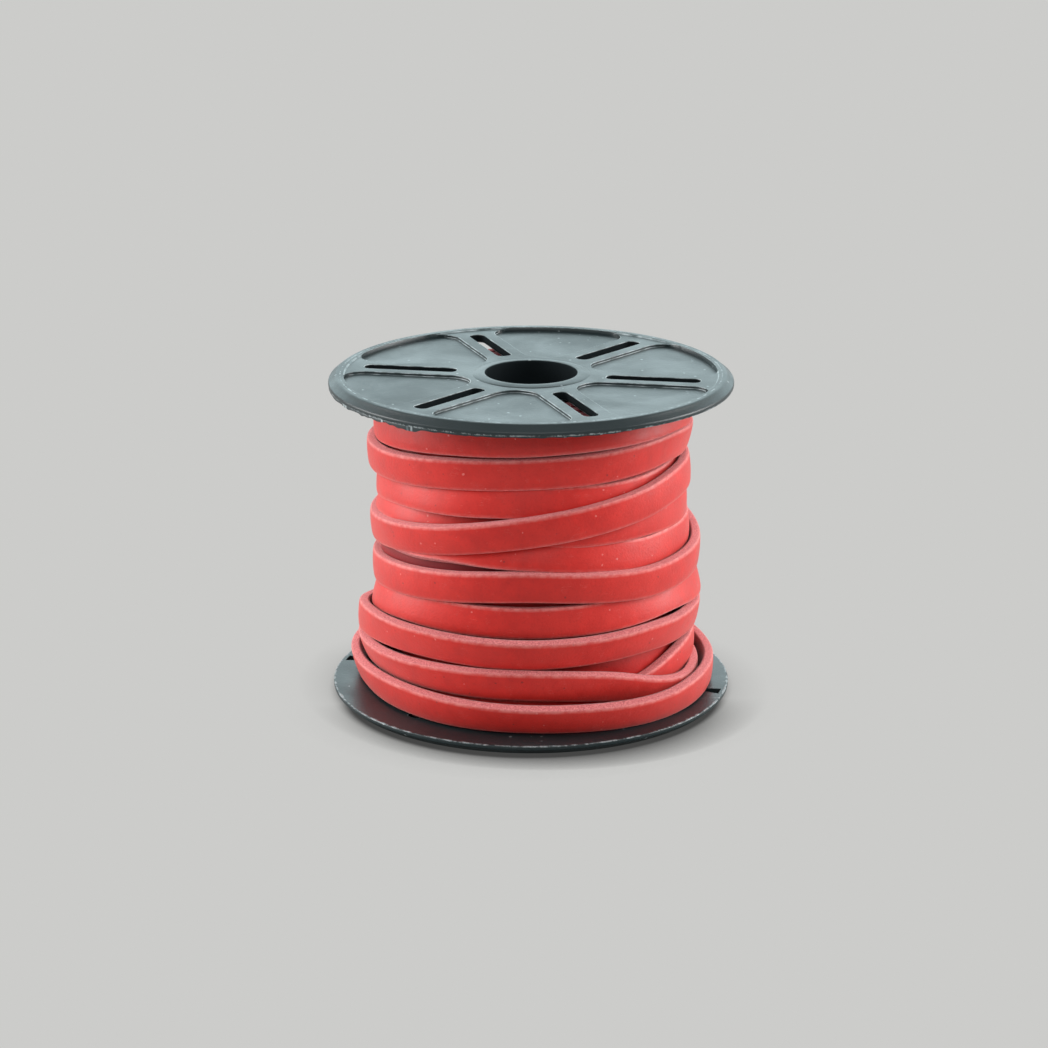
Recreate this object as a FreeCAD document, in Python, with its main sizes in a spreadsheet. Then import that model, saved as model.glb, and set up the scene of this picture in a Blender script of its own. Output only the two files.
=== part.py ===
# Spool of flat leather lace.
#
# Frame: millimetres, +Z up along the spool's axis, origin at the middle of the face that the
# spool stands on. The front of the object is at -Y.

import FreeCAD, Part
import math
import os
import Sketcher

# Driving dimensions: name, value and what it measures.
DIMENSIONS = [
    ("spool_height", 52.0, "overall height, rim face to rim face"),
    ("flange_diameter", 63.5, "outside diameter of both flanges"),
    ("flange_thickness", 1.6, "thickness of a flange at its rim"),
    ("rim_edge", 0.5, "height of the upright edge of the rim, next to the lace"),
    ("bevel_width", 1.3, "width of the sloping band round the outer face"),
    ("edge_break", 0.12, "narrow chamfer along both edges of the bevel"),
    ("rim_land", 1.1, "width of the flat ring that the spool stands on"),
    ("spoke_drop", 0.25, "depth of the spokes and hub below the flat ring"),
    ("pocket_depth", 0.45, "depth of a petal pocket below the spokes"),
    ("spoke_width", 6.4, "width of a spoke between two pockets"),
    ("spoke_count", 6, "number of spokes, each with one slot"),
    ("pocket_tip", 3.9, "radius of the rounded inner end of a pocket"),
    ("pocket_corner", 3.0, "radius of the outer corners of a pocket"),
    ("slot_width", 2.2, "width of a slot"),
    ("slot_start", 2.2, "distance of a slot's inner end from the barrel"),
    ("slot_end", 2.65, "distance of a slot's outer end from the flat ring"),
    ("slot_corner", 0.4, "size of the small cut across each corner of a slot"),
    ("nick_wall", 0.75, "distance of a lace nick's wide end from the outside of the rim"),
    ("nick_length", 3.4, "length of a nick, towards the axis"),
    ("nick_narrow", 0.9, "width of a nick at its narrow end"),
    ("nick_wide", 2.3, "width of a nick at its wide end"),
    ("nick_depth", 0.8, "depth of a nick in the inner face"),
    ("top_turn", -10.0, "degrees that the top flange's spokes are turned from +X"),
    ("bottom_turn", -14.5, "degrees that the bottom flange's spokes are turned from +X"),
    ("bore_diameter", 14.3, "diameter of the bore"),
    ("bore_chamfer", 0.3, "chamfer at each end of the bore"),
    ("spigot_diameter", 17.7, "diameter of the barrel's ends, seated in the flanges"),
    ("spigot_clearance", 0.03, "gap between a barrel end and its flange, at the radius"),
    ("barrel_diameter", 19.4, "diameter of the barrel between its shoulders"),
    ("lace_width", 4.4, "width of the lace"),
    ("lace_thickness", 2.0, "thickness of the lace"),
    ("lace_gap", 0.45, "least gap between two turns of the outer layer"),
    ("winding_diameter", 51.0, "outside diameter of the outer layer, measured over its tight turns"),
    ("lace_clearance", 0.2, "gap between the lace and what it lies against"),
]

FULL_TURN = 360.0
CLOSE = 1.0e-6
UPRIGHT = FreeCAD.Vector(0, 0, 1)
START, END, CENTRE = 1, 2, 3
ORIGIN_POINT = (-1, 1)
ACROSS_AXIS = -1

# The outer layer of lace, turn by turn from the top: at the right, the front, the left and the
# back, how far the outer face stands off the winding's diameter, in lace thicknesses, and how many
# places the turn lies below its own. The fifth turn starts two places high, crosses over the
# fourth in front, and the fourth climbs to it at the back. The lowest turns hang slack.
TURN_SHAPES = [
    ((-0.80, 0), (-0.80, 0), (-0.65, 0), (-0.10, 0)),
    ((-0.10, 0), (-0.05, 0), (-0.05, 0), (-1.20, 0)),
    ((-1.20, 0), (-1.00, 0), (-0.85, 0), (-1.20, 0)),
    ((-1.20, 0.4), (-1.10, 1), (-1.15, 0), (0.15, 0)),
    ((0.15, -2), (0.25, -1), (0.10, 0), (0.25, 0)),
    ((0.25, 0), (0.10, 0), (-0.05, 0), (0.10, 0)),
    ((0.10, 0), (-0.10, 0), (-0.25, 0), (0.50, 0)),
    ((0.50, 0), (0.75, 0), (0.80, 0), (0.75, 0)),
    ((0.75, 0), (0.90, 0), (0.90, 0), (1.25, 0)),
    ((1.25, 0), (1.90, 0), (1.90, 0), (1.90, 0)),
]
QUARTERS = 4
START_SETBACK = 0.15
STATION = 0.5

document = FreeCAD.newDocument("lace_spool")


def make_sheet():
    """Writes the driving dimensions into the spreadsheet and returns them by name."""
    sheet = document.addObject("Spreadsheet::Sheet", "dimensions")
    for row, (name, value, meaning) in enumerate(DIMENSIONS, start=1):
        sheet.set(f"A{row}", name)
        sheet.set(f"B{row}", str(value))
        sheet.set(f"C{row}", meaning)
        sheet.setAlias(f"B{row}", name)
    document.recompute()
    return {name: float(getattr(sheet, name)) for name, _, _ in DIMENSIONS}


sizes = make_sheet()


class Length:
    """A length worked out from the sheet: the expression's text and its value."""

    def __init__(self, text, value):
        self.text = text
        self.value = value

    def __add__(self, other):
        return Length(f"{self.text} + {other.text}", self.value + other.value)

    def __sub__(self, other):
        return Length(f"{self.text} - ({other.text})", self.value - other.value)

    def __neg__(self):
        return Length(f"-({self.text})", -self.value)

    def half(self):
        return Length(f"({self.text}) / 2", self.value / 2)

    def times(self, factor):
        return Length(f"({self.text}) * {factor:.3f}", self.value * round(factor, 3))


def size(name):
    """A value of the sheet, by name."""
    return Length(f"dimensions.{name}", sizes[name])


# Distances from the axis.
BORE = size("bore_diameter").half()
BORE_MOUTH = BORE + size("bore_chamfer")
SPIGOT = size("spigot_diameter").half()
HUB_HOLE = SPIGOT + size("spigot_clearance")
BARREL = size("barrel_diameter").half()
RIM = size("flange_diameter").half()
BEVEL_TOP = RIM - size("bevel_width")
LAND_INSIDE = BEVEL_TOP - size("rim_land")
SPOKE_EDGE = LAND_INSIDE - size("spoke_drop")
SLOT_NEAR = BARREL + size("slot_start")
SLOT_FAR = LAND_INSIDE - size("slot_end")
NICK_FAR = RIM - size("nick_wall")
NICK_NEAR = NICK_FAR - size("nick_length")
WINDING = size("winding_diameter").half()
DEEPEST_TURN = 1 - min(stand_off for turn in TURN_SHAPES for stand_off, _ in turn)
CORE_OUTSIDE = WINDING - size("lace_thickness").times(DEEPEST_TURN) - size("lace_clearance")
CORE_INSIDE = BARREL + size("lace_clearance")

# Heights over the face that the spool stands on, or over a flange's inner face.
THICKNESS = size("flange_thickness")
SPOKE_FACE = THICKNESS - size("spoke_drop")
TOP = size("spool_height")
UPPER_INNER_FACE = TOP - THICKNESS
LACE_FOOT = THICKNESS + size("lace_clearance")
LACE_TOP = UPPER_INNER_FACE - size("lace_clearance")


def origin_plane(body, role):
    """The body's own origin plane of that role."""
    for feature in body.Origin.OriginFeatures:
        if feature.Role == role:
            return feature
    raise ValueError(f"{body.Label} has no {role}")


def add_sketch(body, name, role, height=None):
    """Adds a sketch on one of the body's origin planes, raised by a height from the sheet."""
    sketch = body.newObject("Sketcher::SketchObject", name)
    sketch.AttachmentSupport = [(origin_plane(body, role), "")]
    sketch.MapMode = "FlatFace"
    if height is not None:
        sketch.setExpression(".AttachmentOffset.Base.z", height.text)
    return sketch


def tie(sketch, name, constraint, text):
    """Adds a constraint under a name and binds it to the sheet."""
    index = sketch.addConstraint(constraint)
    sketch.renameConstraint(index, name)
    sketch.setExpression(f"Constraints.{name}", text)


def draw_outline(sketch, corners):
    """Draws a closed outline of straight sides, with each corner bound to the sheet.

    A corner is its distances across and up, where None means on the line through the origin.
    """
    points = []
    for across, up in corners:
        points.append(FreeCAD.Vector(across.value, up.value if up else 0.0, 0))
    count = len(points)
    for index in range(count):
        sketch.addGeometry(Part.LineSegment(points[index], points[(index + 1) % count]), False)
    for index in range(count):
        following = (index + 1) % count
        sketch.addConstraint(Sketcher.Constraint("Coincident", index, END, following, START))
    for index, (across, up) in enumerate(corners):
        distance = Sketcher.Constraint("DistanceX", *ORIGIN_POINT, index, START, across.value)
        tie(sketch, f"across_{index}", distance, across.text)
        if up is None:
            sketch.addConstraint(Sketcher.Constraint("PointOnObject", index, START, ACROSS_AXIS))
        else:
            distance = Sketcher.Constraint("DistanceY", *ORIGIN_POINT, index, START, up.value)
            tie(sketch, f"up_{index}", distance, up.text)


def revolve(body, sketch, name):
    """Turns an upright profile through a full turn about the spool's axis."""
    feature = body.newObject("PartDesign::Revolution", name)
    feature.Profile = sketch
    feature.ReferenceAxis = (sketch, ["V_Axis"])
    feature.Angle = FULL_TURN
    sketch.Visibility = False
    document.recompute()
    return feature


def cut(body, sketch, name, depth=None, upwards=False):
    """Cuts a sketch down or up to a depth from the sheet, or right through the body."""
    before = body.Shape.Volume
    feature = body.newObject("PartDesign::Pocket", name)
    feature.Profile = sketch
    if depth is None:
        feature.Type = "ThroughAll"
        feature.Midplane = True
    else:
        feature.Type = "Length"
        feature.setExpression("Length", depth.text)
        feature.Reversed = upwards
    sketch.Visibility = False
    document.recompute()
    if feature.Shape.Volume > before - CLOSE:
        raise ValueError(f"{name} removes nothing from {body.Label}")
    return feature


def repeat_round(body, features, sketch, name, count_text):
    """Repeats cuts evenly round the axis."""
    pattern = body.newObject("PartDesign::PolarPattern", name)
    pattern.Originals = features
    pattern.Axis = (sketch, ["N_Axis"])
    pattern.Angle = FULL_TURN
    pattern.setExpression("Occurrences", count_text)
    body.Tip = pattern
    document.recompute()
    return pattern


def draw_slot(sketch):
    """A slot along +X: a rectangle with its corners cut."""
    corner = size("slot_corner")
    side = size("slot_width").half()
    end = side - corner
    draw_outline(sketch, [
        (SLOT_NEAR, -end),
        (SLOT_NEAR + corner, -side),
        (SLOT_FAR - corner, -side),
        (SLOT_FAR, -end),
        (SLOT_FAR, end),
        (SLOT_FAR - corner, side),
        (SLOT_NEAR + corner, side),
        (SLOT_NEAR, end),
    ])


def draw_nick(sketch):
    """A lace nick along +X, narrow towards the axis and wide towards the rim."""
    narrow = size("nick_narrow").half()
    wide = size("nick_wide").half()
    draw_outline(sketch, [
        (NICK_NEAR, -narrow),
        (NICK_FAR, -wide),
        (NICK_FAR, wide),
        (NICK_NEAR, narrow),
    ])


def draw_petal(sketch):
    """A petal pocket about +X: sides along two spokes, a round tip and a rim-shaped end."""
    half_angle = math.pi / sizes["spoke_count"]
    offset = sizes["spoke_width"] / 2
    tip, corner, outside = sizes["pocket_tip"], sizes["pocket_corner"], LAND_INSIDE.value
    along = FreeCAD.Vector(math.cos(half_angle), math.sin(half_angle), 0)
    outward = FreeCAD.Vector(-math.sin(half_angle), math.cos(half_angle), 0)
    tip_centre = FreeCAD.Vector((tip + offset) / math.sin(half_angle), 0, 0)
    reach = math.sqrt((outside - corner) ** 2 - (offset + corner) ** 2)
    corner_centre = along * reach - outward * (offset + corner)
    side_starts = tip_centre + outward * tip
    side_ends = corner_centre + outward * corner
    corner_angle = math.atan2(corner_centre.y, corner_centre.x)
    side_angle = math.atan2(outward.y, outward.x)

    def mirrored(point):
        return FreeCAD.Vector(point.x, -point.y, 0)

    def arc(centre, radius, begins, ends):
        circle = Part.Circle(centre, UPRIGHT, radius)
        return sketch.addGeometry(Part.ArcOfCircle(circle, begins, ends), False)

    lower_side = sketch.addGeometry(Part.LineSegment(mirrored(side_starts), mirrored(side_ends)), False)
    lower_corner = arc(mirrored(corner_centre), corner, -side_angle, -corner_angle)
    outer_arc = arc(FreeCAD.Vector(), outside, -corner_angle, corner_angle)
    upper_corner = arc(corner_centre, corner, corner_angle, side_angle)
    upper_side = sketch.addGeometry(Part.LineSegment(side_ends, side_starts), False)
    tip_arc = arc(tip_centre, tip, side_angle, 2 * math.pi - side_angle)
    pieces = (lower_side, lower_corner, outer_arc, upper_corner, upper_side, tip_arc)
    for index, piece in enumerate(pieces):
        following = pieces[(index + 1) % len(pieces)]
        sketch.addConstraint(Sketcher.Constraint("Tangent", piece, END, following, START))
    sketch.addConstraint(Sketcher.Constraint("Coincident", outer_arc, CENTRE, *ORIGIN_POINT))
    sketch.addConstraint(Sketcher.Constraint("Equal", lower_corner, upper_corner))
    tie(sketch, "outside", Sketcher.Constraint("Radius", outer_arc, outside), LAND_INSIDE.text)
    tie(sketch, "corner", Sketcher.Constraint("Radius", upper_corner, corner), "dimensions.pocket_corner")
    tie(sketch, "tip", Sketcher.Constraint("Radius", tip_arc, tip), "dimensions.pocket_tip")
    tie(sketch, "lower_angle", Sketcher.Constraint("Angle", lower_side, -half_angle),
        "-180 / dimensions.spoke_count")
    tie(sketch, "upper_angle", Sketcher.Constraint("Angle", upper_side, half_angle - math.pi),
        "180 / dimensions.spoke_count - 180")
    for name, side in (("lower_offset", lower_side), ("upper_offset", upper_side)):
        tie(sketch, name, Sketcher.Constraint("Distance", *ORIGIN_POINT, side, offset),
            "dimensions.spoke_width / 2")


def ring_edges(shape, radius, height):
    """Names of the circular edges of that radius and height."""
    names = []
    for number, edge in enumerate(shape.Edges, start=1):
        curve = edge.Curve
        if not isinstance(curve, Part.Circle):
            continue
        if abs(curve.Radius - radius.value) < CLOSE and abs(curve.Center.z - height.value) < CLOSE:
            names.append(f"Edge{number}")
    return names


def make_flange(label):
    """A moulded flange with its inner face at height 0 and its outer face up."""
    body = document.addObject("PartDesign::Body", label)
    body.Label = label
    profile = add_sketch(body, f"{label}_profile", "XZ_Plane")
    draw_outline(profile, [
        (HUB_HOLE, None),
        (RIM, None),
        (RIM, size("rim_edge")),
        (BEVEL_TOP, THICKNESS),
        (LAND_INSIDE, THICKNESS),
        (SPOKE_EDGE, SPOKE_FACE),
        (HUB_HOLE, SPOKE_FACE),
    ])
    revolve(body, profile, f"{label}_disc")

    slot_sketch = add_sketch(body, f"{label}_slot_sketch", "XY_Plane")
    draw_slot(slot_sketch)
    slot = cut(body, slot_sketch, f"{label}_slot")
    repeat_round(body, [slot], slot_sketch, f"{label}_slots", "dimensions.spoke_count")

    petal_sketch = add_sketch(body, f"{label}_petal_sketch", "XY_Plane", THICKNESS)
    draw_petal(petal_sketch)
    petal_sketch.setExpression(".AttachmentOffset.Rotation.Angle", "180 / dimensions.spoke_count")
    petal = cut(body, petal_sketch, f"{label}_petal", size("spoke_drop") + size("pocket_depth"))
    repeat_round(body, [petal], petal_sketch, f"{label}_petals", "dimensions.spoke_count")

    nick_sketch = add_sketch(body, f"{label}_nick_sketch", "XY_Plane")
    draw_nick(nick_sketch)
    nick = cut(body, nick_sketch, f"{label}_nick", size("nick_depth"), upwards=True)
    nicks = repeat_round(body, [nick], nick_sketch, f"{label}_nicks", "2")

    broken = body.newObject("PartDesign::Chamfer", f"{label}_broken_edges")
    edges = ring_edges(nicks.Shape, BEVEL_TOP, THICKNESS)
    edges += ring_edges(nicks.Shape, RIM, size("rim_edge"))
    broken.Base = (nicks, edges)
    broken.setExpression("Size", "dimensions.edge_break")
    document.recompute()
    return body


def make_barrel():
    """The tube between the flanges: shouldered, with a spigot through each hub hole.

    Each spigot's end rises from the hub's face to a low lip round the bore.
    """
    body = document.addObject("PartDesign::Body", "barrel")
    body.Label = "barrel"
    profile = add_sketch(body, "barrel_profile", "XZ_Plane")
    draw_outline(profile, [
        (BORE, size("bore_chamfer")),
        (BORE_MOUTH, None),
        (SPIGOT, size("spoke_drop")),
        (SPIGOT, THICKNESS),
        (BARREL, THICKNESS),
        (BARREL, UPPER_INNER_FACE),
        (SPIGOT, UPPER_INNER_FACE),
        (SPIGOT, TOP - size("spoke_drop")),
        (BORE_MOUTH, TOP),
        (BORE, TOP - size("bore_chamfer")),
    ])
    revolve(body, profile, "barrel_tube")
    return body


def make_lace_core():
    """The inner layers of the lace, a plain sleeve round the barrel."""
    outside = document.addObject("Part::Cylinder", "lace_core_outside")
    outside.setExpression("Radius", CORE_OUTSIDE.text)
    inside = document.addObject("Part::Cylinder", "lace_core_inside")
    inside.setExpression("Radius", CORE_INSIDE.text)
    for cylinder in (outside, inside):
        cylinder.setExpression("Height", (LACE_TOP - LACE_FOOT).text)
        cylinder.setExpression(".Placement.Base.z", LACE_FOOT.text)
    core = document.addObject("Part::Cut", "lace_core")
    core.Label = "lace_core"
    core.Base = outside
    core.Tool = inside
    document.recompute()
    return core


def count_turns():
    """Turns of the outer layer: as many as fit between the flanges with the least gap."""
    room = LACE_TOP.value - LACE_FOOT.value
    turns = int((room + sizes["lace_gap"]) / (sizes["lace_width"] + sizes["lace_gap"]))
    pitch = (room - sizes["lace_width"]) / (turns - 1)
    return turns, pitch


def turn_shape(quarter):
    """Stand-off and place from the top after a number of quarter turns, counted from the right."""
    turn = int(quarter // QUARTERS)
    shape = TURN_SHAPES[min(turn, len(TURN_SHAPES) - 1)]
    stand_off, below = shape[int(quarter) % QUARTERS]
    return stand_off, turn + below


def lace_node(quarter, pitch):
    """Place and direction of the lace's middle line after a number of quarter turns.

    The lace runs level there, unless it is on its way down through that place.
    """
    angle = -math.radians(FULL_TURN / QUARTERS * quarter)
    stand_off, level = turn_shape(quarter)
    radius = WINDING.value + sizes["lace_thickness"] * (stand_off - 0.5)
    top = LACE_TOP.value - sizes["lace_width"] / 2
    place = FreeCAD.Vector(radius * math.cos(angle), radius * math.sin(angle), top - level * pitch)
    swing = radius * math.radians(FULL_TURN / QUARTERS)
    fall = 0.0
    if quarter > 1:
        before, after = turn_shape(quarter - 1)[1], turn_shape(quarter + 1)[1]
        if (level - before) * (after - level) > 0:
            fall = (after - before) / 2 * pitch
    direction = FreeCAD.Vector(swing * math.sin(angle), -swing * math.cos(angle), -fall)
    return place, direction.normalize()


def bend_between(first, heading, last):
    """An arc from one point, leaving along a heading, to another, with its middle point."""
    chord = last - first
    half = chord.Length / 2
    reach = half * half / (heading * chord) * 2
    crown = first + heading * reach
    middle = (first + last) * 0.5
    rise = crown - middle
    if rise.Length < CLOSE:
        return Part.LineSegment(first, last)
    slope = math.atan2(rise.Length, half)
    return Part.Arc(first, middle + rise.normalize() * half * math.tan(slope / 2), last)


def biarc(first, first_heading, last, last_heading):
    """Two arcs that leave one point and reach another along given headings."""
    span = last - first
    both = first_heading + last_heading
    opening = 2 * (1 - first_heading * last_heading)
    run = span * both
    reach = (-run + math.sqrt(run * run + opening * span.Length ** 2)) / opening
    joint = (first + first_heading * reach + last - last_heading * reach) * 0.5
    towards = (last - last_heading * reach - first - first_heading * reach).normalize()
    return [bend_between(first, first_heading, joint), bend_between(joint, towards, last)]


def lace_path(turns, pitch):
    """The middle line of the outer layer: arcs round the spool and a straight run at each end.

    It starts at the right of the spool and ends half a turn short of there, at the left.
    """
    whole = QUARTERS * turns - QUARTERS // 2
    quarters = [START_SETBACK] + list(range(1, whole + 1))
    nodes = [lace_node(quarter, pitch) for quarter in quarters]
    run = sizes["lace_width"]
    curves = []
    for (first, first_heading), (last, last_heading) in zip(nodes, nodes[1:]):
        curves += biarc(first, first_heading, last, last_heading)
    first, heading = nodes[0]
    curves.insert(0, Part.LineSegment(first - heading * run, first))
    last, heading = nodes[-1]
    curves.append(Part.LineSegment(last, last + heading * run))
    return curves


def lace_section(place, heading):
    """The lace's rectangular section, square to its heading, with its width upright."""
    across = heading.cross(UPRIGHT).normalize() * (sizes["lace_thickness"] / 2)
    up = UPRIGHT * (sizes["lace_width"] / 2)
    return [place - across - up, place + across - up, place + across + up, place - across + up]


def passes_by_degree(path):
    """Radius and height of the middle line at each whole degree, one entry for each pass."""
    passes = {degree: [] for degree in range(int(FULL_TURN))}
    travelled, previous = None, None
    for edge in path.OrderedEdges:
        steps = max(2, math.ceil(edge.Length / STATION))
        for step in range(steps):
            value = edge.FirstParameter + (edge.LastParameter - edge.FirstParameter) * step / steps
            place = edge.valueAt(value)
            turned = -math.degrees(math.atan2(place.y, place.x))
            if previous is None:
                travelled = turned
            else:
                angle, radius, height = previous
                forward = (turned - angle + FULL_TURN / 2) % FULL_TURN - FULL_TURN / 2
                for degree in range(math.ceil(travelled), math.ceil(travelled + forward)):
                    share = (degree - travelled) / forward
                    passes[degree % int(FULL_TURN)].append((
                        radius + (math.hypot(place.x, place.y) - radius) * share,
                        height + (place.z - height) * share,
                    ))
                travelled += forward
            previous = (turned, math.hypot(place.x, place.y), place.z)
    return passes


def least_gap(path):
    """The least gap between two passes of the lace, from points on its path at every degree."""
    gap = math.inf
    for passes in passes_by_degree(path).values():
        for index, (radius, height) in enumerate(passes):
            for other_radius, other_height in passes[index + 1:]:
                outward = max(0.0, abs(radius - other_radius) - sizes["lace_thickness"])
                upward = max(0.0, abs(height - other_height) - sizes["lace_width"])
                gap = min(gap, math.hypot(outward, upward))
    return gap


def make_lace_winding():
    """The outer layer of the lace: one flat strip swept round the spool, face to the axis."""
    turns, pitch = count_turns()
    curves = lace_path(turns, pitch)
    path = Part.Wire([curve.toShape() for curve in curves])
    start = path.OrderedEdges[0]
    corners = lace_section(start.valueAt(start.FirstParameter), start.tangentAt(start.FirstParameter))
    sweep = Part.BRepOffsetAPI.MakePipeShell(path)
    sweep.setBiNormalMode(UPRIGHT)
    sweep.add(Part.makePolygon(corners + corners[:1]), False, False)
    sweep.build()
    sweep.makeSolid()
    winding = document.addObject("Part::Feature", "lace_winding")
    winding.Label = "lace_winding"
    winding.Shape = sweep.shape()
    winding.Placement = FreeCAD.Placement()
    swept = sizes["lace_width"] * sizes["lace_thickness"] * path.Length
    print(f"outer layer: {turns} turns at a pitch of {pitch:.3f} mm, {path.Length:.0f} mm of lace")
    print(f"least gap of the lace to itself: {least_gap(path):.3f} mm")
    print(f"volume over section times length: {winding.Shape.Volume / swept:.4f}")
    return winding


def place_flanges(top, bottom):
    """Sets the flanges on the barrel's shoulders, outer faces outwards, each at its own turn."""
    top.Placement = FreeCAD.Placement(
        FreeCAD.Vector(0, 0, UPPER_INNER_FACE.value),
        FreeCAD.Rotation(UPRIGHT, sizes["top_turn"]),
    )
    half_turn = math.radians(sizes["bottom_turn"] / 2)
    flip = FreeCAD.Rotation(FreeCAD.Vector(math.cos(half_turn), math.sin(half_turn), 0), FULL_TURN / 2)
    bottom.Placement = FreeCAD.Placement(FreeCAD.Vector(0, 0, THICKNESS.value), flip)
    top.setExpression(".Placement.Base.z", UPPER_INNER_FACE.text)
    bottom.setExpression(".Placement.Base.z", THICKNESS.text)


def check_and_export(parts):
    """Stops on any failed feature or bad shape, then writes one file for each piece."""
    document.recompute()
    for item in document.Objects:
        if "Invalid" in item.State or "Error" in item.State:
            raise ValueError(f"{item.Label} failed: {item.State}")
    for part in parts:
        shape = part.Shape
        if shape.isNull() or not shape.isValid() or len(shape.Solids) != 1:
            raise ValueError(f"{part.Label} is not one valid solid")
    os.makedirs("parts", exist_ok=True)
    for part in parts:
        shape = part.Shape
        box = shape.BoundBox
        part.Shape.exportStep(f"parts/{part.Label}.step")
        print(f"{part.Label}: volume {shape.Volume:.1f} mm3, faces {len(shape.Faces)}, "
              f"z {box.ZMin:.2f} to {box.ZMax:.2f}, width {box.XLength:.2f}")


top_flange = make_flange("top_flange")
bottom_flange = make_flange("bottom_flange")
place_flanges(top_flange, bottom_flange)
barrel = make_barrel()
lace_core = make_lace_core()
lace_winding = make_lace_winding()
check_and_export([top_flange, bottom_flange, barrel, lace_core, lace_winding])
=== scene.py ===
"""A moulded plastic spool wound with flat leather lace: its looks, camera, light and floor."""

import math

import bpy
import numpy as np
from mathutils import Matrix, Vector


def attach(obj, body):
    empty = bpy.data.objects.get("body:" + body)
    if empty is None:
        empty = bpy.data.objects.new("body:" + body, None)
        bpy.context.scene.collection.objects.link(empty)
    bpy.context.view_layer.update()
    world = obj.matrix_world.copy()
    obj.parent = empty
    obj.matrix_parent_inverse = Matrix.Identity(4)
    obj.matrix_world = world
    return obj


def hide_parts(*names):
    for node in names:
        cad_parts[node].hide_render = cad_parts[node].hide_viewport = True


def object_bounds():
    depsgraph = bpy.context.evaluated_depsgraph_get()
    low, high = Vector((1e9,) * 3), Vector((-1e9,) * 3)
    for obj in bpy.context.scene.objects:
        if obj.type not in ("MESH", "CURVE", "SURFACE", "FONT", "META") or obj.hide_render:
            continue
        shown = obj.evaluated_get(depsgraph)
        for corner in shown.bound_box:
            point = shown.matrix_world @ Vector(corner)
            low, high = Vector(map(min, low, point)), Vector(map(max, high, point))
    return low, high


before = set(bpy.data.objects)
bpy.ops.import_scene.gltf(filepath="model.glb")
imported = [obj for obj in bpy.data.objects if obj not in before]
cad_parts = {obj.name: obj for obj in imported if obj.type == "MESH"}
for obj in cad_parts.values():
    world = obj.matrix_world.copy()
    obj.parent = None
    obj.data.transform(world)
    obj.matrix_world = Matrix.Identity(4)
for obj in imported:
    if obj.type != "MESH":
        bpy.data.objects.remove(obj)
cad_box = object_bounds()

MM = 0.001
scene = bpy.context.scene

# The spool's outer sizes, in millimetres, are those of the CAD part's box.
RIM_RADIUS = round(cad_box[1][0] / MM, 2)
SPOOL_HEIGHT = round(cad_box[1][2] / MM, 2)


# Bench helpers.

ORDER_FROM = (0.3, 0.2, 0.1)


def clear_selection():
    """Leave edit mode and let go of everything."""
    if bpy.context.object and bpy.context.object.mode != "OBJECT":
        bpy.ops.object.mode_set(mode="OBJECT")
    bpy.ops.object.select_all(action="DESELECT")


def take(piece):
    """Make one piece the only thing selected and active."""
    clear_selection()
    piece.select_set(True)
    bpy.context.view_layer.objects.active = piece


def settle(piece):
    """Put the piece's place, turn and size into its mesh, so that its object sits at the origin."""
    take(piece)
    bpy.ops.object.transform_apply(location=True, rotation=True, scale=True)


def seat(piece, nodes=()):
    """Let the piece ride on the one body, in place of CAD nodes if any."""
    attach(piece, "root")
    if nodes:
        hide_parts(*nodes)


def put_in_order():
    """Sort the faces of the mesh being edited, which spinning and drawing out leave in any order.

    They are sorted by their distance from a place off every plane of symmetry, so that the
    steps after this one give the same result each run.
    """
    scene.cursor.location = ORDER_FROM
    bpy.ops.mesh.select_all(action="SELECT")
    bpy.ops.mesh.sort_elements(type="CURSOR_DISTANCE", elements={"EDGE", "FACE"})


def smooth_by_angle(piece, degrees):
    """Shade the piece smooth, with creases where faces meet at more than this angle."""
    take(piece)
    bpy.ops.object.shade_smooth_by_angle(angle=math.radians(degrees))


# Camera.

CAMERA_PLACE = (-1.12, -464.5, 173.3)
CAMERA_TILT = 72.52
LENS, SENSOR = 105.2, 36


def add_camera():
    """The camera in front of the spool, looking down on it at a slant."""
    clear_selection()
    bpy.ops.object.camera_add(
        location=[distance * MM for distance in CAMERA_PLACE],
        rotation=(math.radians(CAMERA_TILT), 0, 0),
    )
    camera = bpy.context.object
    camera.name = "camera"
    camera.data.sensor_width = SENSOR
    camera.data.lens = LENS
    scene.camera = camera


add_camera()
scene.view_settings.view_transform = "Standard"


# The lace.

LACE_WIDTH = 4.8

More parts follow.
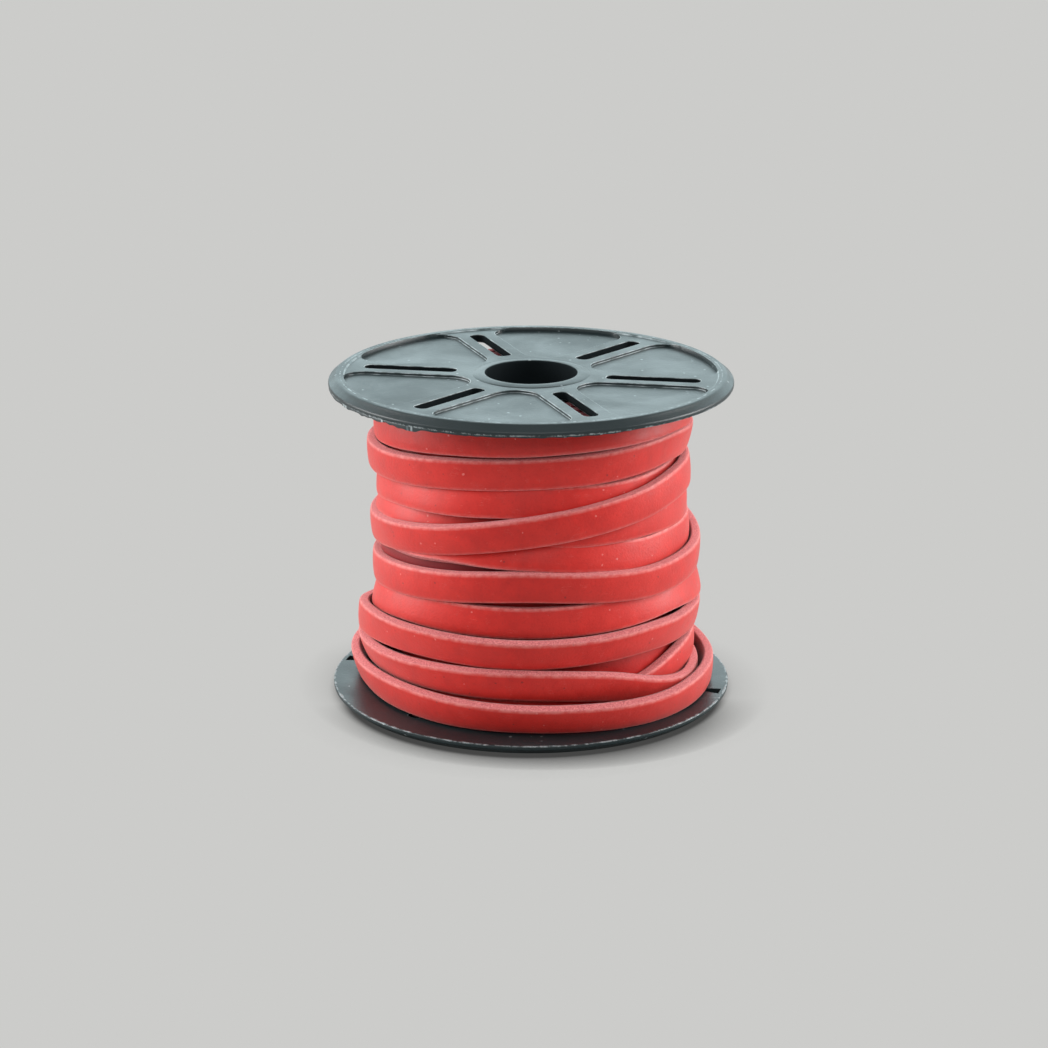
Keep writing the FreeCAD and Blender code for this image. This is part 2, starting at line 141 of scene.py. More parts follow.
# The outer turns of the lace, from the top of the spool to the bottom. Each turn
# starts at the spool's right and runs round the front to the left and back behind the spool. A
# row is: degrees travelled, height of the lace's upper edge, radius there, lean outwards in
# degrees.
LEAD_IN = [
    (-150, 50.20, 22.60, 0), (-120, 50.20, 22.70, 0), (-90, 50.20, 23.10, 0),
    (-60, 50.15, 24.00, -3), (-30, 49.90, 24.40, -6),
]
OUTER_TURNS = [
    [(0, 49.3, 24.60, -10), (30, 50.2, 23.40, -22), (60, 50.3, 23.40, -20),
     (90, 49.9, 24.20, -8), (120, 49.4, 24.30, -5), (150, 48.0, 24.40, -4),
     (180, 47.0, 24.70, 0), (210, 46.7, 24.90, 3), (240, 46.3, 25.10, 6),
     (270, 45.9, 25.30, 9), (300, 45.3, 25.50, 12), (330, 44.7, 25.60, 15)],
    [(0, 44.3, 25.60, 15), (30, 45.6, 25.55, 9), (60, 45.2, 25.10, 4), (90, 44.7, 24.65, 2),
     (120, 43.9, 25.00, 5), (150, 42.5, 25.70, 7), (180, 42.0, 25.95, 3),
     (210, 41.7, 25.40, 2), (240, 41.5, 24.80, 0), (270, 41.2, 24.20, 0),
     (300, 40.7, 23.20, 0), (330, 40.3, 23.10, 0)],
    [(0, 40.1, 23.10, 0), (30, 39.8, 23.20, 0), (45, 39.7, 23.40, 0), (60, 39.9, 23.60, -2),
     (75, 40.2, 23.80, -8), (90, 40.3, 23.80, -12), (120, 39.7, 23.60, -14),
     (150, 38.9, 23.60, -12), (180, 37.3, 24.40, -3), (210, 37.1, 24.00, 0),
     (240, 37.0, 23.50, 0), (270, 36.9, 22.90, 0), (300, 36.2, 23.10, 0),
     (330, 35.6, 23.60, 0)],
    [(0, 34.6, 24.65, 0), (30, 35.0, 24.70, -1), (45, 35.2, 24.40, -3), (60, 35.2, 24.20, -5),
     (90, 35.2, 23.50, -5), (120, 35.9, 22.90, -10), (135, 36.1, 22.90, -14),
     (150, 36.1, 22.90, -20), (165, 35.6, 23.00, -22), (180, 35.0, 23.20, -22),
     (195, 34.5, 22.80, -14), (210, 34.0, 22.20, -4), (240, 33.2, 21.80, 0),
     (270, 32.2, 22.50, 0), (300, 31.0, 24.20, 0), (330, 30.3, 24.80, 0)],
    [(0, 29.9, 25.00, -2), (15, 30.2, 24.90, -4), (30, 30.3, 24.60, -8),
     (45, 30.1, 24.30, -12), (60, 31.1, 24.00, -14), (75, 31.5, 23.80, -15),
     (90, 31.9, 23.40, -18), (105, 31.9, 22.80, -24), (120, 32.0, 22.00, -34),
     (135, 31.2, 21.60, -42), (150, 30.8, 21.60, -42), (165, 30.6, 22.00, -32),
     (180, 30.8, 22.60, -18), (195, 31.2, 23.20, -6), (210, 31.8, 23.90, 2),
     (240, 33.0, 25.30, 20), (270, 35.4, 25.50, 4), (300, 37.9, 25.50, 0),
     (330, 39.2, 25.30, -4)],
    [(0, 39.5, 25.00, -3), (15, 39.8, 25.20, -4), (30, 39.5, 25.35, -4),
     (45, 38.4, 25.50, -2), (60, 37.7, 25.65, -1), (90, 35.9, 25.80, 4),
     (120, 33.3, 25.80, 10), (150, 31.5, 25.80, 9), (180, 30.1, 25.70, 3),
     (210, 29.9, 25.90, 0), (240, 29.7, 25.80, 0), (270, 29.4, 25.90, 2),
     (300, 29.0, 26.20, 3), (330, 28.2, 26.60, 4), (345, 27.3, 26.85, 4)],
    [(0, 26.3, 27.10, 4), (15, 26.2, 27.10, 4), (30, 26.0, 26.85, 4), (45, 25.7, 26.50, 4),
     (60, 26.0, 26.15, 5), (90, 27.1, 25.70, 6), (120, 26.0, 25.50, 3), (150, 25.0, 25.40, 0),
     (180, 23.6, 25.30, 1), (210, 23.2, 25.20, 0), (240, 23.0, 25.50, 0),
     (270, 22.8, 25.70, -2), (300, 22.2, 25.90, -6), (330, 21.5, 26.10, -10)],
    [(0, 20.8, 26.30, -14), (30, 22.2, 24.70, -24), (60, 21.4, 24.60, -12),
     (90, 21.2, 24.50, -6), (120, 21.1, 24.40, -7), (150, 21.0, 24.45, -13),
     (180, 18.9, 24.40, -15), (210, 18.6, 24.90, -10), (240, 18.2, 26.00, 0),
     (270, 17.7, 26.40, 2), (300, 17.0, 26.60, 5), (330, 16.1, 26.80, 8)],
    [(0, 15.2, 27.20, 9), (15, 15.9, 27.15, 12), (30, 16.1, 27.15, 16), (45, 16.5, 27.10, 17),
     (60, 16.2, 27.05, 20), (90, 16.1, 27.00, 18), (120, 16.2, 27.20, 16),
     (150, 16.1, 27.50, 9), (165, 16.0, 27.60, 0), (180, 15.0, 27.60, -3),
     (195, 13.7, 26.90, -1), (210, 13.1, 26.10, 0), (240, 13.0, 26.00, 0),
     (270, 12.7, 26.20, 0), (300, 12.0, 26.40, 0), (330, 11.4, 26.40, 0)],
    [(0, 10.9, 26.30, 0), (15, 10.7, 26.10, 2), (30, 10.1, 26.00, 4), (45, 8.2, 25.60, 4),
     (60, 6.9, 24.80, 2), (90, 6.5, 24.60, 2), (120, 6.5, 24.60, 0), (150, 6.5, 24.50, 0),
     (180, 6.5, 24.50, 0), (210, 6.5, 24.40, 0), (240, 6.5, 24.40, 0), (270, 6.5, 24.50, 0),
     (300, 6.5, 24.70, 0), (330, 6.5, 25.50, 0)],
    [(0, 6.5, 26.50, 0), (15, 6.5, 27.55, 6), (30, 6.4, 28.35, 14), (45, 7.8, 28.00, 16),
     (60, 9.9, 27.20, 16), (75, 10.9, 27.10, 10), (90, 11.4, 27.20, 10),
     (120, 11.2, 27.40, 18), (150, 10.3, 27.70, 26), (165, 10.2, 27.80, 24),
     (180, 9.7, 27.80, 20), (210, 9.3, 28.10, 12), (240, 8.8, 28.20, 6), (270, 8.4, 28.30, 3),
     (300, 7.8, 28.20, 0), (330, 7.3, 28.20, 0), (345, 6.9, 28.50, 0)],
    [(0, 6.5, 29.20, 2), (15, 6.5, 29.75, 7), (30, 6.4, 30.30, 10), (45, 5.8, 30.60, 18),
     (60, 6.0, 30.30, 22), (75, 6.2, 29.70, 23.5), (90, 6.1, 29.05, 24),
     (120, 6.4, 28.20, 16), (135, 6.5, 27.95, 13), (150, 6.4, 28.05, 14),
     (165, 6.3, 28.50, 20), (180, 6.4, 29.10, 17), (195, 6.5, 29.60, 12),
     (210, 6.5, 30.00, 8)],
]
# The layers below them, wound up and down the barrel: the radius of each layer's outer face.
INNER_LAYERS = [12.2, 14.8, 17.4, 20.0, 22.6]
INNER_PITCH = 4.86
# Height of the upper edge of a turn that lies against the top or the bottom flange.
TOP_EDGE = 50.2
BOTTOM_EDGE = 6.5
# A layer runs level at each flange for this many degrees, and the last one for longer.
LEVEL_RUN = 270
LAST_LEVEL_RUN = 216
# In this many degrees the lace climbs on to the next layer.
CLIMB_RUN = 60
LAST_LAYER_INSIDE = 22.0
# The last layer bulges here, into gaps of the outer turns: degrees travelled, height, how far.
BULGES = [(185, 27.2, 1.7), (45, 12.0, 1.3)]
BULGE_HEIGHT = 2.6

# Limits for the lace between the flanges: its upper edge's highest and its lower edge's lowest.
HIGHEST_EDGE = 50.3
LOWEST_EDGE = 1.66

# Columns of a station, and how far the lace wavers in each: millimetres, or degrees of lean.
HEIGHT, RADIUS, LEAN = 1, 2, 3
WAVERS = ((HEIGHT, 0.06), (RADIUS, 0.05), (LEAN, 1.2))
WAVES_IN_A_TURN = (2.3, 3.7, 5.9)
ANY_START = 6.28
WAVE_DIVISOR = 1.7

# Section of the lace, from its lower edge up the outer face, over the upper cut edge and back
# down the inner face: (across the width, depth from the outer face, how much it is cut edge,
# how much pale corner line it gets, partly a burr and partly painted highlight that is strongest
# at the upper corner, how much it is the inner side, which gets painted shade).
OUTER_SECTION = [
    (-2.20, 0.22, 0.0, 0.35, 0), (-1.80, 0.10, 0.0, 0.0, 0), (-0.90, 0.02, 0.0, 0.0, 0),
    (0.00, 0.00, 0.0, 0.0, 0), (0.90, 0.02, 0.0, 0.0, 0), (1.80, 0.08, 0.0, 0.0, 0),
    (2.22, 0.16, 0.0, 1.0, 0), (2.34, 0.24, 0.6, 1.0, 0), (2.40, 0.38, 1.0, 0.3, 0),
    (2.43, 0.72, 1.0, 0.0, 0), (2.41, 1.05, 1.0, 0.0, 0), (2.43, 1.36, 1.0, 0.0, 0),
    (2.36, 1.62, 1.0, 0.0, 1), (2.15, 1.70, 0.6, 0.0, 1), (0.75, 1.72, 0.2, 0.0, 1),
    (-0.75, 1.72, 0.2, 0.0, 1), (-2.15, 1.70, 0.6, 0.0, 1), (-2.36, 1.62, 1.0, 0.0, 1),
    (-2.43, 1.36, 1.0, 0.0, 0), (-2.41, 1.05, 1.0, 0.0, 0), (-2.43, 0.72, 1.0, 0.0, 0),
    (-2.40, 0.42, 1.0, 0.1, 0), (-2.33, 0.30, 0.6, 0.35, 0),
]
INNER_SECTION = [
    (-2.24, 0.08, 0.0, 0.3, 0), (-2.00, 0.03, 0.0, 0.0, 0), (0.00, 0.00, 0.0, 0.0, 0),
    (2.00, 0.03, 0.0, 0.0, 0), (2.24, 0.08, 0.0, 0.3, 0), (2.38, 0.22, 1.0, 0.4, 0),
    (2.41, 1.00, 1.0, 0.0, 0), (2.38, 1.80, 1.0, 0.0, 1), (2.15, 2.00, 0.6, 0.0, 1),
    (-2.15, 2.00, 0.6, 0.0, 1), (-2.38, 1.80, 1.0, 0.0, 1), (-2.41, 1.00, 1.0, 0.0, 0),
    (-2.38, 0.22, 1.0, 0.4, 0),
]
SECTION_MARKS = ("cut_edge", "corner", "inner_side_shade")
UNWRAPPED_PER_MM = 0.1
# Degrees between two control points of a lace's edges.
OUTER_STEP, INNER_STEP = 15, 22.5


def outer_stations():
    """The given stations in one list, the turns counted on."""
    rows = list(LEAD_IN)
    for turn, stations in enumerate(OUTER_TURNS):
        rows += [(360 * turn + a, z, r, lean) for a, z, r, lean in stations]
    return np.array(rows, float)


def inner_stations():
    """One strip up and down the barrel: level at each flange, with even turns between."""
    run = 360 * (TOP_EDGE - BOTTOM_EDGE) / INNER_PITCH
    steps = 12
    rows, angle, low = [], 0.0, True
    for radius in INNER_LAYERS:
        start, end = (BOTTOM_EDGE, TOP_EDGE) if low else (TOP_EDGE, BOTTOM_EDGE)
        rows += [(angle, start, radius, 0), (angle + LEVEL_RUN, start, radius, 0)]
        for k in range(1, steps):
            rise = (end - start) * k / steps
            rows.append((angle + LEVEL_RUN + run * k / steps, start + rise, radius, 0))
        rows.append((angle + LEVEL_RUN + run, end, radius, 0))
        angle += LEVEL_RUN + CLIMB_RUN + run
        low = not low
    rows.append((rows[-1][0] + LAST_LEVEL_RUN, TOP_EDGE, INNER_LAYERS[-1], 0))
    rows = np.array(rows, float)
    rows[:, 0] += LEAD_IN[0][0] - rows[-1, 0]
    rows = even_stations(rows, INNER_STEP)
    for towards, height, amount in BULGES:
        side = np.clip(np.cos(np.radians(rows[:, 0] - towards)), 0, 1) ** 2
        near = np.exp(-(((rows[:, HEIGHT] - height) / BULGE_HEIGHT) ** 2))
        rows[:, RADIUS] += amount * side * near * (rows[:, RADIUS] > LAST_LAYER_INSIDE)
    return rows


def even_stations(rows, step):
    """The same course at even steps of the turn, eased smoothly from row to row."""
    turned, values = rows[:, 0], rows[:, 1:]
    slope = np.gradient(values, turned, axis=0)
    change = np.diff(values, axis=0) / np.diff(turned)[:, None]
    # At a highest or a lowest row the course runs nearly level.
    turns_back = change[:-1] * change[1:] <= 0
    slope[1:-1][turns_back] *= 0.35
    at = np.arange(turned[0], turned[-1] + 1e-6, step)
    row = np.clip(np.searchsorted(turned, at, side="right") - 1, 0, len(turned) - 2)
    span = (turned[row + 1] - turned[row])[:, None]
    t = (at - turned[row])[:, None] / span
    eased = (
        (2 * t**3 - 3 * t**2 + 1) * values[row] + (t**3 - 2 * t**2 + t) * span * slope[row]
        + (3 * t**2 - 2 * t**3) * values[row + 1] + (t**3 - t**2) * span * slope[row + 1]
    )
    return np.column_stack([at, eased])


def rail(points, steps):
    """The line that a smooth curve through these control points draws."""
    curve = bpy.data.curves.new("rail", "CURVE")
    curve.dimensions = "3D"
    spline = curve.splines.new("NURBS")
    spline.points.add(len(points) - 1)
    for point, place in zip(spline.points, points):
        point.co = (*place, 1)
    spline.order_u = 3
    spline.use_endpoint_u = True
    spline.resolution_u = steps
    piece = bpy.data.objects.new("rail", curve)
    scene.collection.objects.link(piece)
    bpy.context.view_layer.update()
    line = bpy.data.meshes.new_from_object(piece)
    places = np.array([v.co for v in line.vertices])
    bpy.data.objects.remove(piece)
    bpy.data.curves.remove(curve)
    bpy.data.meshes.remove(line)
    return places


def wavered(course, seed, share):
    """The course with small slow waves in height, radius and lean, as a hand-wound lace has."""
    rng = np.random.default_rng(seed)
    turn = np.radians(course[:, 0])
    for column, amount in WAVERS:
        for waves in WAVES_IN_A_TURN:
            wave = np.sin(waves * turn + rng.uniform(0, ANY_START))
            course[:, column] += share * amount * wave / WAVE_DIVISOR
    course[:, HEIGHT] = np.clip(course[:, HEIGHT], 0, HIGHEST_EDGE)
    return course


def edge_rails(course, step, steps):
    """The upper and the lower edge of the lace's outer face, as smooth lines."""
    azimuth = -np.radians(course[:, 0])
    lean = np.radians(course[:, LEAN])
    # A curve of this kind runs inside its control points, so they stand out by this much.
    spread = 1 / (0.75 + 0.25 * math.cos(math.radians(step)))

    def edge(drop):
        radius = (course[:, RADIUS] - drop * np.sin(lean)) * spread
        lowest = LOWEST_EDGE if drop else 0
        height = np.maximum(course[:, HEIGHT] - drop * np.cos(lean), lowest)
        return np.column_stack([radius * np.cos(azimuth), radius * np.sin(azimuth), height])

    return rail(edge(0), steps), rail(edge(LACE_WIDTH), steps)


def unit(vectors):
    """The same directions at length one."""
    return vectors / np.linalg.norm(vectors, axis=1)[:, None]


def lace_directions(upper, lower):
    """The lace's middle line, and at each of its points the ways across and in to the axis."""
    middle = (upper + lower) / 2
    across = unit(upper - lower)
    along = unit(np.gradient(middle, axis=0))
    inward = unit(np.cross(along, across))
    inward *= np.sign(np.sum(inward * -middle * (1, 1, 0), axis=1))[:, None]
    return middle, across, inward


def lace_faces(count, ring):
    """Faces from each section to the next, and a fan at either end."""
    faces = []
    for i in range(count - 1):
        a, b = i * ring, (i + 1) * ring
        faces += [(a + j, a + (j + 1) % ring, b + (j + 1) % ring, b + j) for j in range(ring)]
    head, tail = count * ring, count * ring + 1
    last = (count - 1) * ring
    faces += [(head, (j + 1) % ring, j) for j in range(ring)]
    faces += [(tail, last + j, last + (j + 1) % ring) for j in range(ring)]
    return faces


def painted_shade_by_height(height):
    """Painted shade on a turn by its height: most behind the widest gap and under the top flange.
    """
    widest_gap, half_gap = 26, 3.5
    shade_starts, shade_grows = 47, 2
    behind_gap = 0.60 * np.exp(-(((height - widest_gap) / half_gap) ** 2))
    under_flange = 0.75 * np.clip((height - shade_starts) / shade_grows, 0, 1)
    return 0.25 + behind_gap + under_flange


def mark_lace(mesh, places, shape, painted_shade_share):
    """Write down how much each point is cut edge, corner or inner side, with the turns' painted
    shade, for the leather.
    """
    ends = 2
    count = len(places) // len(shape)
    for k, word in enumerate(SECTION_MARKS):
        at_ends = 1.0 if word == "cut_edge" else 0.0
        values = np.concatenate([np.tile(shape[:, 2 + k], count), [at_ends] * ends])
        # Painted shade by height joins the inner side's mark.
        if word == "inner_side_shade":
            height = np.concatenate([places[:, 2], [0.0] * ends])
            values = np.maximum(values, painted_shade_share * painted_shade_by_height(height))
        mark = mesh.attributes.new(word, "FLOAT", "POINT")
        mark.data.foreach_set("value", values.astype(np.float32))


def unwrap_lace(mesh, middle, shape):
    """Unwrap the lace: its length runs along U and the way round its section along V."""
    ring = len(shape)
    outline = np.vstack([shape[:, :2], shape[:1, :2]])
    length = np.concatenate([[0], np.cumsum(np.linalg.norm(np.diff(middle, axis=0), axis=1))])
    around = np.concatenate([[0], np.cumsum(np.hypot(*np.diff(outline, axis=0).T))])
    layer = mesh.uv_layers.new(name="lace")
    uv = np.zeros((len(mesh.loops), 2), np.float32)
    for i in range(len(middle) - 1):
        for j in range(ring):
            k = 4 * (i * ring + j)
            uv[k : k + 4] = [
                (length[i], around[j]), (length[i], around[j + 1]),
                (length[i + 1], around[j + 1]), (length[i + 1], around[j]),
            ]
    layer.data.foreach_set("uv", (uv * UNWRAPPED_PER_MM).ravel())


def lace(name, stations, step, section, steps, seed, waver, painted_shade_share):
    """Sweep the lace's section along its two outer edges."""
    course = wavered(even_stations(stations, step), seed, waver)
    middle, across, inward = lace_directions(*edge_rails(course, step, steps))
    shape = np.array(section)
    points = (
        middle[:, None, :]
        + across[:, None, :] * shape[None, :, 0, None]
        + inward[:, None, :] * shape[None, :, 1, None]
    )
    places = points.reshape(-1, 3)
    centres = [middle[0] + inward[0], middle[-1] + inward[-1]]
    faces = lace_faces(len(middle), len(section))
    mesh = bpy.data.meshes.new(name)
    mesh.from_pydata((np.vstack([places, centres]) * MM).tolist(), [], faces)
    mesh.update()
    mark_lace(mesh, places, shape, painted_shade_share)
    unwrap_lace(mesh, middle, shape)
    piece = bpy.data.objects.new(name, mesh)
    scene.collection.objects.link(piece)
    take(piece)
    bpy.ops.object.mode_set(mode="EDIT")
    bpy.ops.mesh.select_all(action="SELECT")
    bpy.ops.mesh.normals_make_consistent(inside=False)
    bpy.ops.object.mode_set(mode="OBJECT")
    smooth_by_angle(piece, 60)
    return piece


outer_lace = lace("lace_outer_turns", outer_stations(), OUTER_STEP, OUTER_SECTION,
                  steps=6, seed=4, waver=1.0, painted_shade_share=0.0)
# The inner turns, seen only in gaps, take the painted shade in full.
inner_lace = lace("lace_inner_turns", inner_stations(), INNER_STEP, INNER_SECTION,
                  steps=3, seed=9, waver=0.6, painted_shade_share=1.0)
seat(outer_lace, ["lace_winding"])
seat(inner_lace, ["lace_core"])


# The plastic spool.

FLANGE_THICKNESS = 1.6
POCKET_OUTSIDE = 29.35
SPOKE_FACE = 1.35
POCKET_FLOOR = 0.90
HUB_HOLE = 8.30
SPOKE_HALF_WIDTH, POCKET_TIP, POCKET_CORNER = 3.2, 3.9, 3.0
SLOT_NEAR, SLOT_FAR, SLOT_HALF_WIDTH, SLOT_CORNER = 11.9, 26.7, 1.22, 1.0
NICK_DEPTH, NICK_HALF_NARROW, NICK_HALF_WIDE = 0.8, 0.45, 1.15
NICK_FAR, NICK_NEAR = RIM_RADIUS - 0.75, RIM_RADIUS - 4.15
TOP_TURN, BOTTOM_TURN = -10.0, -14.5
BORE_RADIUS, SEAT_RADIUS, TUBE_RADIUS = 7.15, 9.3, 9.7
EDGE_ROUNDING = 0.16
ROUNDED_INSIDE, ROUNDED_OUTSIDE = 10, 28.4
BELOW_FLANGE, ABOVE_FLANGE = -1.0, 3.0

# Which finish a face has: the number of its material on the three plastic pieces. The second is
# partly wear and partly painted highlight, the third is painted shade.
PLAIN_FACE, WORN_AND_HIGHLIT_EDGE, SHADED_WALL = 0, 1, 2


def arc(centre, radius, begins, ends, steps):
    """Points of an arc, angles in degrees."""
    points = []
    for k in range(steps + 1):
        angle = math.radians(begins + (ends - begins) * k / steps)
        points.append((centre[0] + radius * math.cos(angle), centre[1] + radius * math.sin(angle)))
    return points


def draw(name, points, plane):
    """Draw an outline by drawing out one vertex from point to point, and close it."""

    def lay(point):
        a, b = point[0] * MM, point[1] * MM
        return (a, 0, b) if plane == "XZ" else (a, b, 0)

    clear_selection()
    bpy.ops.mesh.primitive_plane_add(size=MM, location=(0, 0, 0))
    piece = bpy.context.object
    piece.name = name
    bpy.ops.object.mode_set(mode="EDIT")
    bpy.ops.mesh.select_all(action="SELECT")
    bpy.ops.mesh.merge(type="CENTER")
    bpy.ops.transform.translate(value=lay(points[0]))
    for first, last in zip(points, points[1:]):
        a, b = lay(first), lay(last)
        step = (b[0] - a[0], b[1] - a[1], b[2] - a[2])
        bpy.ops.mesh.extrude_region_move(TRANSFORM_OT_translate={"value": step})
    bpy.ops.mesh.select_all(action="SELECT")
    bpy.ops.mesh.edge_face_add()
    return piece


def turn_up(name, points, steps):
    """A closed profile turned through a full turn about the spool's axis."""
    piece = draw(name, points, "XZ")
    bpy.ops.mesh.select_all(action="SELECT")
    bpy.ops.mesh.delete(type="ONLY_FACE")
    bpy.ops.mesh.select_all(action="SELECT")
    bpy.ops.mesh.spin(steps=steps, angle=math.radians(360), center=(0, 0, 0), axis=(0, 0, 1))
    bpy.ops.mesh.select_all(action="SELECT")
    bpy.ops.mesh.remove_doubles(threshold=1e-7)
    bpy.ops.mesh.normals_make_consistent(inside=False)
    put_in_order()
    bpy.ops.object.mode_set(mode="OBJECT")
    return piece


def turn_by(degrees):
    """Turn what is selected about the spool's axis."""
    bpy.ops.transform.rotate(
        value=-math.radians(degrees), orient_axis="Z", center_override=(0, 0, 0)
    )


def cutter(name, points, low, high, angles):
    """Prisms of one outline, stood round the axis at the given angles, for cutting."""
    piece = draw(name, points, "XY")
    bpy.ops.mesh.select_all(action="SELECT")
    bpy.ops.transform.translate(value=(0, 0, low * MM))
    rise = (0, 0, (high - low) * MM)
    bpy.ops.mesh.extrude_region_move(TRANSFORM_OT_translate={"value": rise})
    bpy.ops.mesh.select_all(action="SELECT")
    turn_by(angles[0])
    for last, angle in zip(angles, angles[1:]):
        bpy.ops.mesh.duplicate()
        turn_by(angle - last)
    bpy.ops.mesh.select_all(action="SELECT")
    bpy.ops.mesh.normals_make_consistent(inside=False)
    put_in_order()
    bpy.ops.object.mode_set(mode="OBJECT")
    return piece


def cut_out(piece, tool):
    """Cut the tool's shape out of the piece and put the tool away."""
    take(piece)
    change = piece.modifiers.new("cut", "BOOLEAN")
    change.operation = "DIFFERENCE"
    change.solver = "EXACT"
    change.object = tool
    bpy.ops.object.modifier_apply(modifier=change.name)
    bpy.data.objects.remove(tool)


def flange_profile():
    """Half section of a flange: inner face, rim, bevel, flat ring, step down, spokes and hub."""
    r, t = RIM_RADIUS, FLANGE_THICKNESS
    middle, hub_ring = 20.0, 9.6
    profile = [(HUB_HOLE, 0.0), (middle, 0.0), (r - 0.20, 0.0)]
    profile += arc((r - 0.18, 0.18), 0.18, -60, 0, 3)
    profile += arc((r - 0.35, 0.45), 0.35, 0, 45, 4)
    profile += [(r - 0.62, 1.07)] + arc((r - 1.45, 0.95), 0.65, 38, 88, 6)
    profile += [(r - 2.0, t), (POCKET_OUTSIDE + 0.04, t - 0.02)]
    profile += [(POCKET_OUTSIDE - 0.16, SPOKE_FACE + 0.02), (POCKET_OUTSIDE - 0.40, SPOKE_FACE)]
    profile += [(middle, SPOKE_FACE), (hub_ring, SPOKE_FACE), (HUB_HOLE, SPOKE_FACE - 0.03)]
    return profile


def petal_outline():
    """A pocket between two spokes: a round tip, straight sides, round corners, a rim-shaped end."""
    half = math.radians(30)
    along = (math.cos(half), math.sin(half))
    outward = (-math.sin(half), math.cos(half))
    aside = SPOKE_HALF_WIDTH + POCKET_CORNER
    reach = math.sqrt((POCKET_OUTSIDE - POCKET_CORNER) ** 2 - aside**2)
    centre = tuple(along[k] * reach - outward[k] * aside for k in (0, 1))
    turned = math.degrees(math.atan2(centre[1], centre[0]))
    tip = ((POCKET_TIP + SPOKE_HALF_WIDTH) / math.sin(half), 0)
    points = arc((0, 0), POCKET_OUTSIDE, -turned, turned, 24)
    points += arc(centre, POCKET_CORNER, turned, 120, 8)[1:]
    points += arc(tip, POCKET_TIP, 120, 240, 12)
    mirrored = arc((centre[0], -centre[1]), POCKET_CORNER, 240, 360 - turned, 8)
    return points + mirrored[:-1]


def slot_outline():
    """A slot along a spoke, its corners rounded."""
    near, far, side, bend = SLOT_NEAR, SLOT_FAR, SLOT_HALF_WIDTH, SLOT_CORNER
    middle = (near + far) / 2
    points = []
    corners = ((far, side, 90), (near, side, 180), (near, -side, 270), (far, -side, 0))
    for x, y, ends in corners:
        centre = (x - math.copysign(bend, x - middle), y - math.copysign(bend, y))
        points += arc(centre, bend, ends - 90, ends, 5)
    return points


def nick_outline():
    """A catch for the lace's end in the inner face, wider towards the rim."""
    narrow, wide = NICK_HALF_NARROW, NICK_HALF_WIDE
    return [(NICK_NEAR, -narrow), (NICK_FAR, -wide), (NICK_FAR, wide), (NICK_NEAR, narrow)]


def mark_slot_walls(piece, spokes):
    """Give the walls of the slots the near-black finish of painted shade."""
    margin = 0.2
    for face in piece.data.polygons:
        face.material_index = PLAIN_FACE
        radius = math.hypot(face.center.x, face.center.y) / MM
        turned = math.atan2(face.center.y, face.center.x)
        aside = min(abs(math.remainder(turned - math.radians(a), math.tau)) for a in spokes)
        along_slot = SLOT_NEAR - margin < radius < SLOT_FAR + margin
        in_slot = along_slot and aside * radius < SLOT_HALF_WIDTH + margin
        if abs(face.normal.z) < 0.5 and in_slot:
            face.material_index = SHADED_WALL


def round_edges(piece):
    """Round the sharp edges of the slots and pockets."""
    take(piece)
    bpy.ops.object.mode_set(mode="EDIT")
    bpy.ops.mesh.select_all(action="SELECT")
    bpy.ops.mesh.remove_doubles(threshold=0.02 * MM)
    bpy.ops.mesh.dissolve_limited(angle_limit=math.radians(0.5), delimit={"MATERIAL"})
    bpy.ops.mesh.select_all(action="DESELECT")
    bpy.ops.mesh.select_mode(type="EDGE")
    bpy.ops.mesh.edges_select_sharp(sharpness=math.radians(40))
    bpy.ops.object.mode_set(mode="OBJECT")
    scene.tool_settings.mesh_select_mode = (True, False, False)
    rounding = piece.data.attributes.new("bevel_weight_edge", "FLOAT", "EDGE")
    for edge in piece.data.edges:
        ends = [piece.data.vertices[k].co / MM for k in edge.vertices]
        reaches = [math.hypot(end.x, end.y) for end in ends]
        inside = all(ROUNDED_INSIDE < reach < ROUNDED_OUTSIDE for reach in reaches)
        rounding.data[edge.index].value = float(edge.select and inside)
    soft = piece.modifiers.new("moulded_edges", "BEVEL")
    soft.width = EDGE_ROUNDING * MM
    soft.segments = 3
    soft.limit_method = "WEIGHT"
    soft.use_clamp_overlap = True
    bpy.ops.object.modifier_apply(modifier=soft.name)


def mark_pale_edges(piece):
    """Give the slanting faces of the rounded edges and of the step the pale edge finish, partly
    wear and partly painted highlight.
    """
    for face in piece.data.polygons:
        radius = math.hypot(face.center.x, face.center.y) / MM
        slants = 0.25 < abs(face.normal.z) < 0.985
        if slants and ROUNDED_INSIDE < radius < POCKET_OUTSIDE + 0.35:
            face.material_index = WORN_AND_HIGHLIT_EDGE


def flange(name):
    """A moulded flange, its inner face at height 0 and its outer face up."""
    piece = turn_up(name, flange_profile(), 160)
    spokes = [60 * k for k in range(6)]
    between = [angle + 30 for angle in spokes]
    cut_out(piece, cutter("petals", petal_outline(), POCKET_FLOOR, ABOVE_FLANGE, between))
    cut_out(piece, cutter("slots", slot_outline(), BELOW_FLANGE, ABOVE_FLANGE, spokes))
    cut_out(piece, cutter("nicks", nick_outline(), BELOW_FLANGE, NICK_DEPTH, [0, 180]))
    mark_slot_walls(piece, spokes)
    round_edges(piece)
    mark_pale_edges(piece)
    even = piece.modifiers.new("even_shading", "WEIGHTED_NORMAL")
    even.mode = "FACE_AREA"
    even.keep_sharp = True
    smooth_by_angle(piece, 50)
    bpy.ops.object.modifier_apply(modifier=even.name)
    return piece


